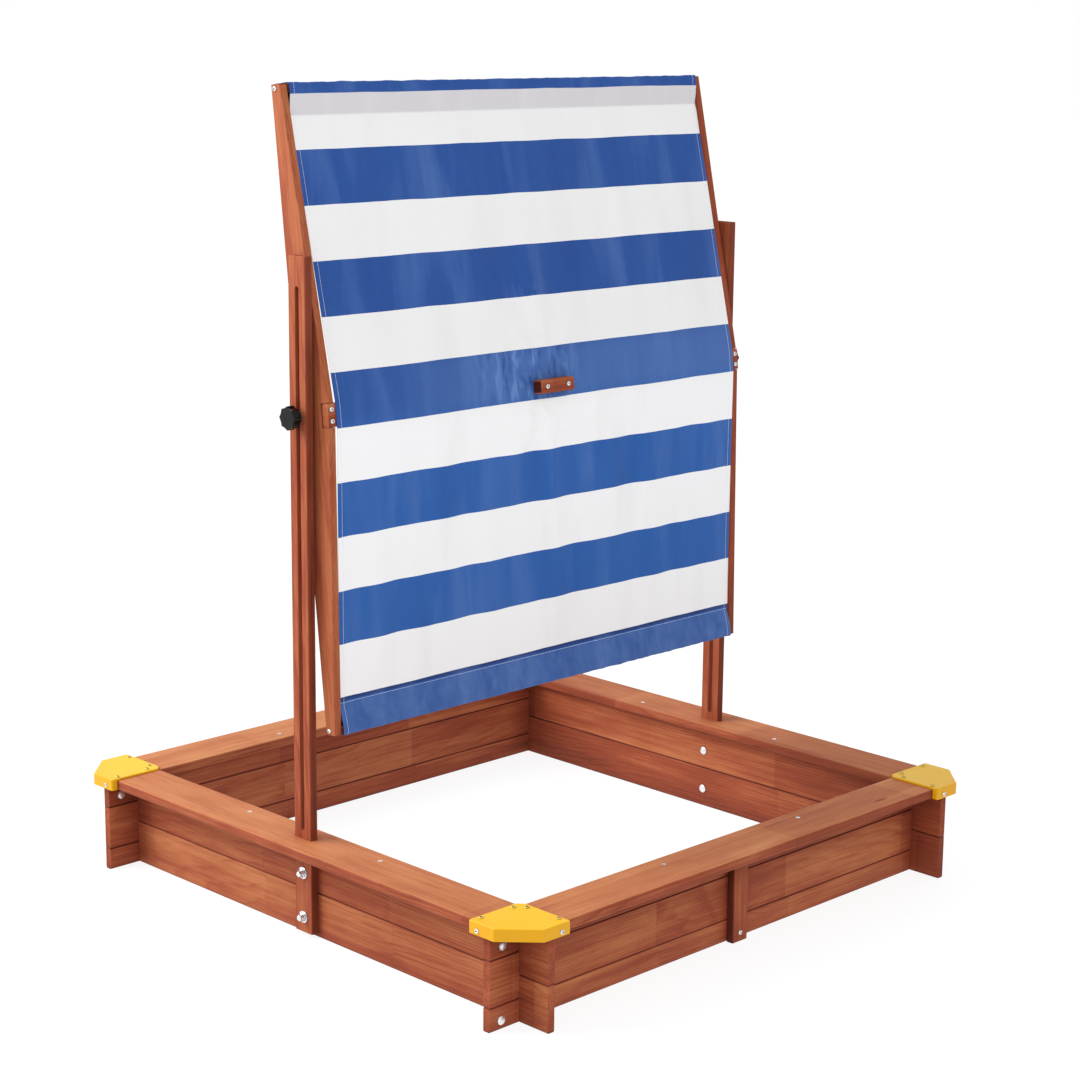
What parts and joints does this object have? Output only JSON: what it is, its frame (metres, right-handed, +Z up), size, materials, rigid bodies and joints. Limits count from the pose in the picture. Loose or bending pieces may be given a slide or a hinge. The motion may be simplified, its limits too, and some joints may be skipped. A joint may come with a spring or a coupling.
{
  "type": "sandbox with cover",
  "caption": "Square wooden sandbox with seat boards, plastic corner caps and two slotted posts that carry a striped fabric canopy, which slides up and down and tilts.",
  "frame": {"origin": "centre of the box at ground level", "axes": "+Z up; -Y is the front wall and +Y the back wall, which carry the posts; the canopy tilts about Y"},
  "size_m": [1.2048, 1.2048, 1.4697],
  "materials": {
    "box_wood": "stained, matt, visible grain",
    "post_wood": "stained, matt, visible grain",
    "canopy_wood": "stained, matt, visible grain",
    "cap_plastic": "smooth moulded yellow",
    "striped_fabric": "woven polyester, royal blue and white stripes",
    "knob_plastic": "satin moulded black",
    "spacer_nylon": "moulded",
    "insert_brass": "machined",
    "zinc_steel": "bright zinc plated"
  },
  "bodies": {
    "box": {"back_board_lower": "box_wood", "back_board_upper": "box_wood", "batten_screws": "zinc_steel", "cap_side_screws": "zinc_steel", "cap_top_screws": "zinc_steel", "corner_bolts": "zinc_steel", "corner_cap_back_left": "cap_plastic", "corner_cap_back_right": "cap_plastic", "corner_cap_front_left": "cap_plastic", "corner_cap_front_right": "cap_plastic", "corner_nuts": "zinc_steel", "corner_washers": "zinc_steel", "front_board_lower": "box_wood", "front_board_upper": "box_wood", "left_board_bottom": "box_wood", "left_board_middle": "box_wood", "left_board_top": "box_wood", "post_back": "post_wood", "post_bolts": "zinc_steel", "post_front": "post_wood", "post_nuts": "zinc_steel", "post_washers": "zinc_steel", "right_board_bottom": "box_wood", "right_board_middle": "box_wood", "right_board_top": "box_wood", "seat_back": "box_wood", "seat_front": "box_wood", "seat_left": "box_wood", "seat_right": "box_wood", "seat_screws": "zinc_steel", "side_batten_left": "box_wood", "side_batten_right": "box_wood"},
    "carriage": {"pivot_bolt_front": "zinc_steel", "pivot_bolt_back": "zinc_steel", "pivot_spacers": "spacer_nylon", "clamp_washers": "zinc_steel"},
    "canopy": {"canopy_gable_front": "canopy_wood", "canopy_gable_back": "canopy_wood", "ridge_bar": "canopy_wood", "end_bar_lower": "canopy_wood", "end_bar_upper": "canopy_wood", "ridge_block": "canopy_wood", "canopy_fabric": "striped_fabric", "ridge_screws": "zinc_steel", "end_bar_screws": "zinc_steel", "ridge_block_screws": "zinc_steel"},
    "knob_front_body": {"knob_front": "knob_plastic", "knob_insert_front": "insert_brass"},
    "knob_back_body": {"knob_back": "knob_plastic", "knob_insert_back": "insert_brass"}
  },
  "joints": [
    {"name": "canopy_height", "type": "slide", "parent": "box", "child": "carriage", "axis": [0, 0, 1], "range_m": [-0.18, 0.21]},
    {"name": "canopy_tilt", "type": "hinge", "parent": "carriage", "child": "canopy", "pos_m": [0, 0, 0.921], "axis": [0, 1, 0], "range_deg": [-173.3, 6.68]},
    {"name": "knob_front_turn", "type": "hinge", "parent": "carriage", "child": "knob_front_body", "pos_m": [0, -0.55, 0.921], "axis": [0, -1, 0], "range_deg": [0, 720]},
    {"name": "knob_back_turn", "type": "hinge", "parent": "carriage", "child": "knob_back_body", "pos_m": [0, 0.55, 0.921], "axis": [0, 1, 0], "range_deg": [0, 720]}
  ]
}
